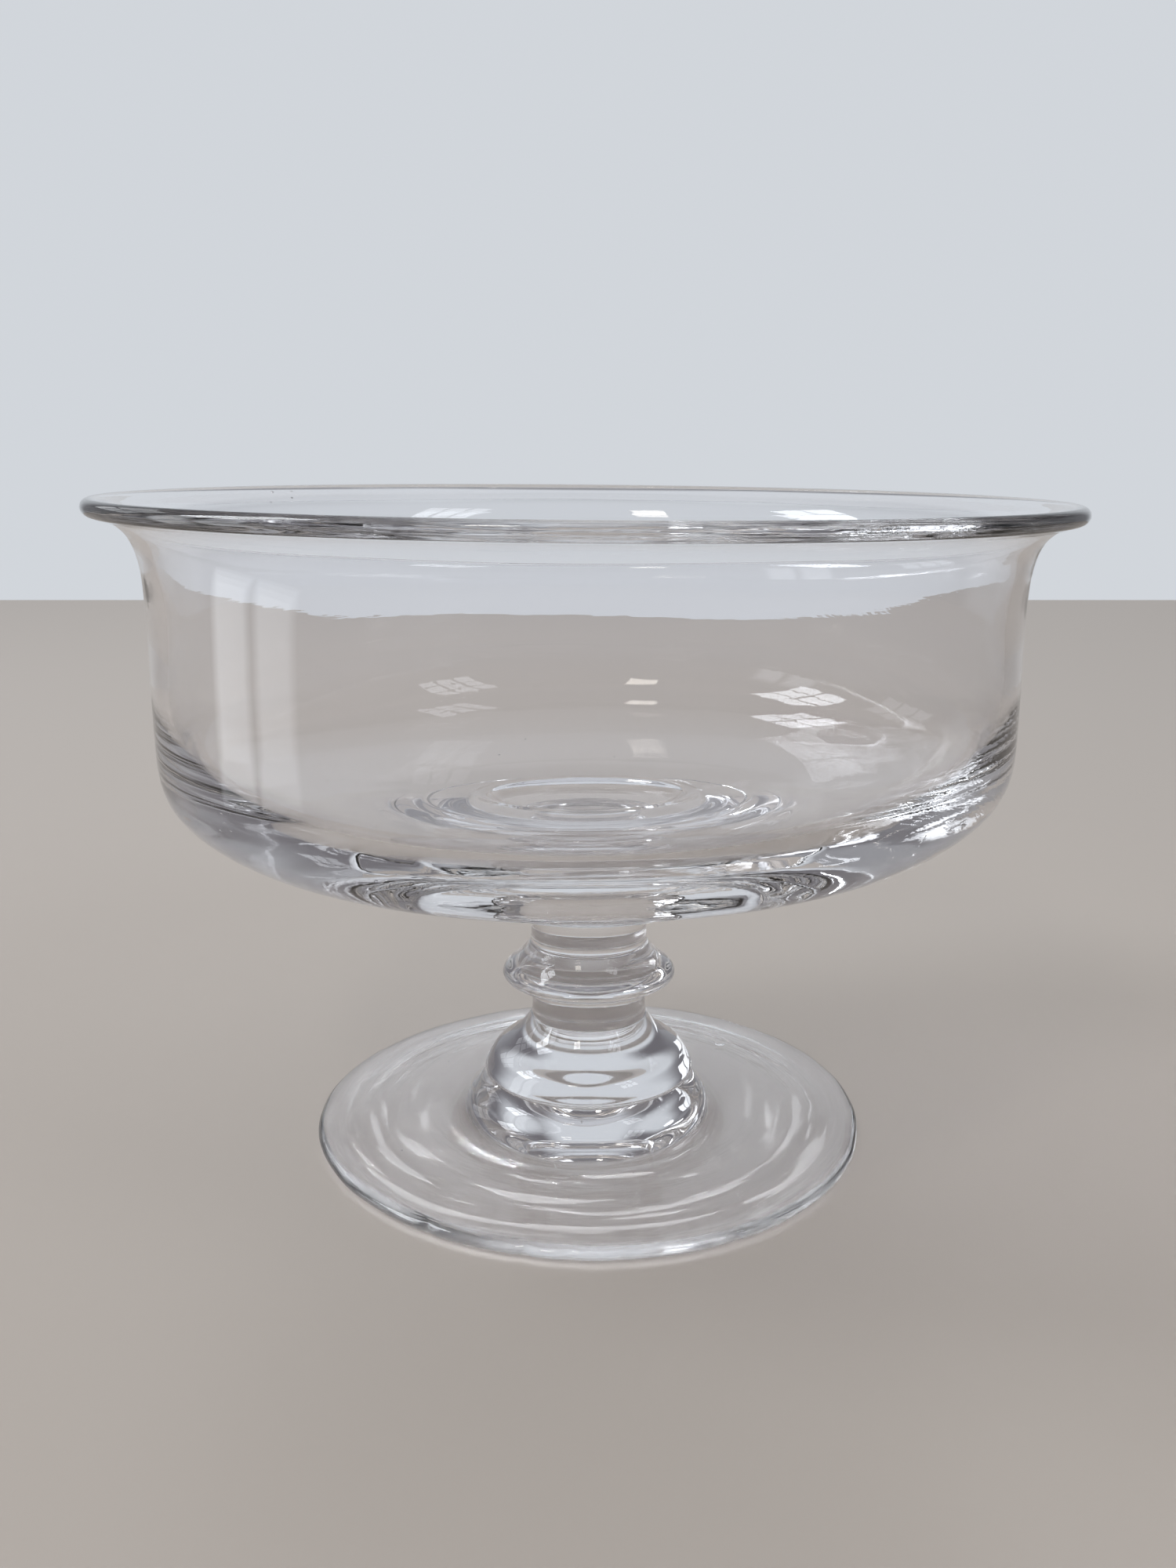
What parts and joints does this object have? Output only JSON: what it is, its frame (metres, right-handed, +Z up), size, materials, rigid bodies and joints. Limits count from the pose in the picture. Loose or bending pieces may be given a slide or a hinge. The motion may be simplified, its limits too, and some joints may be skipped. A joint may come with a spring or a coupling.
{
  "type": "footed glass bowl",
  "caption": "Round clear glass bowl with a turned-out lip and thick base, on a short stem with a collar and a bell knop, above a wide disc foot.",
  "frame": {"origin": "middle of the foot, on the surface that it stands on", "axes": "+Z up along the axis the glass was turned about; X and Y are free, because the object is round"},
  "size_m": [0.12, 0.12, 0.0841],
  "materials": {
    "bowl_glass": "clear, fire-polished, with faint striae and seeds",
    "stem_glass": "clear, fire-polished",
    "foot_glass": "clear, with swirled striae and a worn standing ring"
  },
  "bodies": {
    "root": {"bowl": "bowl_glass", "bowl_pad": "stem_glass", "upper_neck": "stem_glass", "collar": "stem_glass", "lower_neck": "stem_glass", "bell_knop": "stem_glass", "foot": "foot_glass"}
  },
  "joints": []
}
